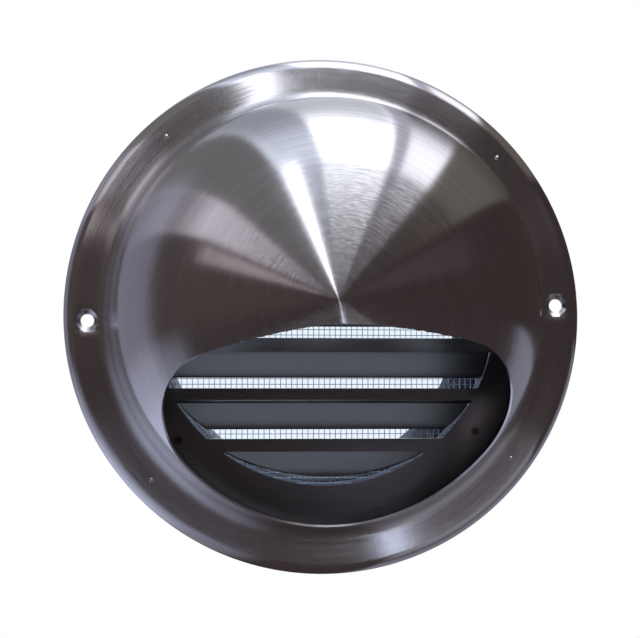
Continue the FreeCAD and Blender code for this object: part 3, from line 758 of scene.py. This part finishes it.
def pale_floor_paint():
    """Matte pale paint with a trace of roller texture."""
    material, tree, shader = new_material("pale_floor_paint")
    place = add_node(tree, "ShaderNodeTexCoord").outputs["Object"]
    stipple = add_node(tree, "ShaderNodeTexNoise", {"Scale": 1 / ROLLER_STIPPLE, "Detail": 2.0},
                       {"Vector": place})
    relief = add_node(tree, "ShaderNodeBump", {"Strength": 0.1, "Distance": 0.2 * MM},
                      {"Height": stipple.outputs["Fac"]})
    tree.links.new(relief.outputs[0], shader.inputs["Normal"])
    shader.inputs["Base Color"].default_value = hex_colour("ecebe9")
    shader.inputs["Roughness"].default_value = 0.8
    return material


# Stage, light and camera

FLOOR_SIZE = 1.6
FLOOR_HEIGHT = -0.4


def make_floor():
    """Pale floor well below the cover."""
    deselect_objects()
    bpy.ops.mesh.primitive_plane_add(size=FLOOR_SIZE, location=(0, 0, FLOOR_HEIGHT))
    floor = bpy.context.object
    floor.name = "floor"
    bpy.ops.object.transform_apply(location=True, rotation=True, scale=True)
    floor.data.materials.append(pale_floor_paint())
    # Kept out of the reflections, which the world's panels and glows give.
    floor.visible_glossy = False


PHOTO_WIDTH = 640
FOCAL_PIXELS = 1218.5
SENSOR_WIDTH = 36.0
NEAR_CLIP = 0.01
CAMERA_PLACE = Vector((-26.8, -355.0, -22.9)) * MM
CAMERA_AIM = Vector((-1.45, -5.0, -1.7)) * MM

# Studio panels, fitted to the highlights in the photo and placed round the mirrored view of its camera. Most
# of them make a fan on the brushed hood. In degrees: the azimuth from the right and half its width, then the
# angles from the mirrored view where the panel starts, begins to fade and ends; then the brightness and the
# colour.
PANELS = (
    (106.5, 3.1, 0, 25, 30, 5.0, "f6f9ff"),  # narrow streak up the dome
    (281.5, 2.6, 9, 14, 20, 4.6, "dce6ff"),  # gleam at the foot of the flange
    (79.6, 13, 24.5, 65, 108, 2.2, "f6f9ff"),  # main fan, with its fading rest
    (79.6, 13, 24.5, 130, 200, 0.85, "f0f6ff"),
    (55.3, 6, 29, 70, 115, 1.3, "f6f7ff"),  # right fan, with its fading rest
    (55.3, 6, 29, 90, 140, 0.7, "f4f6ff"),
    (64.5, 3.2, 24, 90, 190, 0.8, "e0e0f0"),  # gap between main and right fan
    (41, 9, 27, 80, 170, 0.19, "dcd8cc"),  # faint fans further right
    (20, 7, 14, 20, 30, 0.08, "e4d4d4"),
    (101.7, 9.3, 23, 45, 100, 0.85, "e4eeff"),  # fan beside the streak, with its fading rest
    (101.7, 9.3, 23, 120, 200, 0.52, "e0e9fc"),
    (122, 14, 12, 170, 200, 0.25, "d6dade"),  # broad grey to the upper left
    (143.5, 8, 18, 32, 75, 0.8, "ece4ee"),  # left fan, with its fading rest
    (143.5, 8, 18, 80, 150, 0.3, "dcdaea"),
    (158, 3.2, 15, 22, 34, 0.95, "ece2e6"),  # thin ray below the left fan
    (305, 21, 15, 40, 90, 0.45, "ced0dc"),  # lower right flange
    (320, 36, 84, 200, 240, 0.42, "c8cee6"),  # right shoulder
)
# Wide glows in the same terms, with softer edges
GLOWS = (
    (165, 22, 12, 40, 110, 0.06, "d8c8c4"),  # left side of the cone
    (182, 48, 84, 200, 240, 0.36, "ccd0ea"),  # left shoulder
    (213, 20, 48, 200, 240, 0.38, "c8d0ea"),  # lower left shoulder
    (190, 30, 150, 200, 240, 0.3, "c8d0ea"),  # left wall
    (228, 20, 22, 200, 240, 0.4, "c8d0ea"),  # lower left flange
)
# How far a panel's or a glow's edges are blurred, at its sides and where it starts
PANEL_BLUR = (math.radians(1.2), math.radians(4))
GLOW_BLUR = (math.radians(9), math.radians(9))
FRONT_SHADE = "463c3b"
# White backdrop, with cooler daylight in a small round behind the duct
BACKDROP = "ffffff"
DAYLIGHT = "e9f4ff"
DAYLIGHT_VIEW = Vector((0.075, 1, 0)).normalized()
DAYLIGHT_EDGE = math.cos(math.radians(8.2))
DAYLIGHT_FULL = math.cos(math.radians(7.2))
DUCT_LIGHT_POWER = 0.12
DUCT_LIGHT_COLOUR = "ddf1ff"


def share_of_panel(tree, around, lean, angles, strength, blur):
    """Strength within a panel's azimuths and angles from the mirrored view, with soft edges."""
    azimuth, half, start, fade, end = angles
    side_blur, start_blur = blur
    middle = (math.cos(azimuth), math.sin(azimuth), 0)
    facing = add_node(tree, "ShaderNodeVectorMath", {"operation": "DOT_PRODUCT", 1: middle}, {0: around})
    edges = ((facing.outputs["Value"], math.cos(half + side_blur), math.cos(half - side_blur), strength),
             (lean, start - start_blur, start + start_blur, 1.0), (lean, end, fade, 1.0))
    shares = []
    for value, none, full, most in edges:
        edge = add_node(tree, "ShaderNodeMapRange", {"interpolation_type": "SMOOTHSTEP", "From Min": none,
                                                     "From Max": full, "To Max": most}, {"Value": value})
        shares.append(edge.outputs[0])
    total = shares[0]
    for share in shares[1:]:
        total = add_node(tree, "ShaderNodeMath", {"operation": "MULTIPLY"}, {0: total, 1: share}).outputs[0]
    return total


def angles_from_mirrored_view(tree, direction):
    """Which way a direction turns off the view that a mirror at the peak would give, and how far."""
    mirrored = Vector((-CAMERA_PLACE.x, CAMERA_PLACE.y - PEAK_DEPTH, -CAMERA_PLACE.z)).normalized()
    right = (Vector((1, 0, 0)) - mirrored.x * mirrored).normalized()
    parts = []
    for axis in (right, mirrored.cross(right), mirrored):
        part = add_node(tree, "ShaderNodeVectorMath", {"operation": "DOT_PRODUCT", 1: axis}, {0: direction})
        parts.append(part.outputs["Value"])
    aside = add_node(tree, "ShaderNodeCombineXYZ", links={"X": parts[0], "Y": parts[1]})
    around = add_node(tree, "ShaderNodeVectorMath", {"operation": "NORMALIZE"}, {0: aside.outputs[0]})
    lean = add_node(tree, "ShaderNodeMath", {"operation": "ARCCOSINE"}, {0: parts[2]})
    return around.outputs[0], lean.outputs[0]


def make_world():
    """Dim brown room with panels and glows to light the cover, and a backdrop that only the camera sees."""
    world = bpy.data.worlds.new("studio")
    bpy.context.scene.world = world
    world.use_nodes = True
    tree = world.node_tree
    direction = add_node(tree, "ShaderNodeTexCoord").outputs["Generated"]
    around, lean = angles_from_mirrored_view(tree, direction)
    shade = add_node(tree, "ShaderNodeRGB")
    shade.outputs[0].default_value = hex_colour(FRONT_SHADE)
    room = shade.outputs[0]
    lights = [(PANEL_BLUR, *panel) for panel in PANELS] + [(GLOW_BLUR, *glow) for glow in GLOWS]
    for blur, *angles, strength, colour in lights:
        share = share_of_panel(tree, around, lean, [math.radians(angle) for angle in angles], strength, blur)
        lit = add_node(tree, "ShaderNodeMix",
                       {"data_type": "RGBA", "blend_type": "ADD", "clamp_factor": False,
                        MIX_B: hex_colour(colour)}, {0: share, MIX_A: room})
        room = lit.outputs[MIX_COLOUR]
    facing = add_node(tree, "ShaderNodeVectorMath", {"operation": "DOT_PRODUCT", 1: DAYLIGHT_VIEW},
                      {0: direction})
    behind = add_node(tree, "ShaderNodeMapRange",
                      {"interpolation_type": "SMOOTHSTEP", "From Min": DAYLIGHT_EDGE,
                       "From Max": DAYLIGHT_FULL}, {"Value": facing.outputs["Value"]})
    backdrop = add_node(tree, "ShaderNodeMix",
                        {"data_type": "RGBA", MIX_A: hex_colour(BACKDROP), MIX_B: hex_colour(DAYLIGHT)},
                        {0: behind.outputs[0]})
    seen = add_node(tree, "ShaderNodeLightPath").outputs["Is Camera Ray"]
    shown = add_node(tree, "ShaderNodeMix", {"data_type": "RGBA"},
                     {0: seen, MIX_A: room, MIX_B: backdrop.outputs[MIX_COLOUR]})
    tree.links.new(shown.outputs[MIX_COLOUR], tree.nodes["Background"].inputs["Color"])


def make_duct_light():
    """Daylight that comes through the duct from behind and reaches the louvres through the screen."""
    lamp = bpy.data.lights.new("duct_light", "AREA")
    lamp.shape = "DISK"
    lamp.size = 2 * (SPIGOT_RADIUS - SPIGOT_SHEET)
    lamp.energy = DUCT_LIGHT_POWER
    lamp.color = hex_colour(DUCT_LIGHT_COLOUR)[:3]
    light = bpy.data.objects.new("duct_light", lamp)
    light.visible_camera = False
    bpy.context.scene.collection.objects.link(light)
    light.matrix_world = Matrix.Translation((0, SPIGOT_END, 0)) @ Matrix.Rotation(-math.pi / 2, 4, "X")


def make_camera():
    """Photo's viewpoint: a little left of the axis and below it, with the louvres level."""
    lens = bpy.data.cameras.new("photo_camera")
    lens.sensor_width = SENSOR_WIDTH
    lens.lens = SENSOR_WIDTH * FOCAL_PIXELS / PHOTO_WIDTH
    lens.clip_start = NEAR_CLIP
    camera = bpy.data.objects.new("photo_camera", lens)
    bpy.context.scene.collection.objects.link(camera)
    ahead = (CAMERA_AIM - CAMERA_PLACE).normalized()
    louvre_up = Vector((math.sin(LOUVRE_TURN), 0, math.cos(LOUVRE_TURN)))
    right = ahead.cross(louvre_up).normalized()
    turn = Matrix((right, right.cross(ahead), -ahead)).transposed().to_4x4()
    camera.matrix_world = Matrix.Translation(CAMERA_PLACE) @ turn
    bpy.context.scene.camera = camera


hood = make_hood()
pips = make_weld_pips()
plate = make_louvre_plate()
screen = make_insect_screen()
spigot = make_spigot()

brushed = circular_brushed_stainless()
mill = mill_finish_stainless()
for piece, material in ((hood, brushed), (pips, brushed), (plate, mill), (screen, drawn_steel_wire()),
                        (spigot, dull_rolled_steel())):
    piece.data.materials.clear()
    piece.data.materials.append(material)

make_floor()
make_world()
make_duct_light()
make_camera()
bpy.context.scene.view_settings.view_transform = "Standard"

deselect_objects()
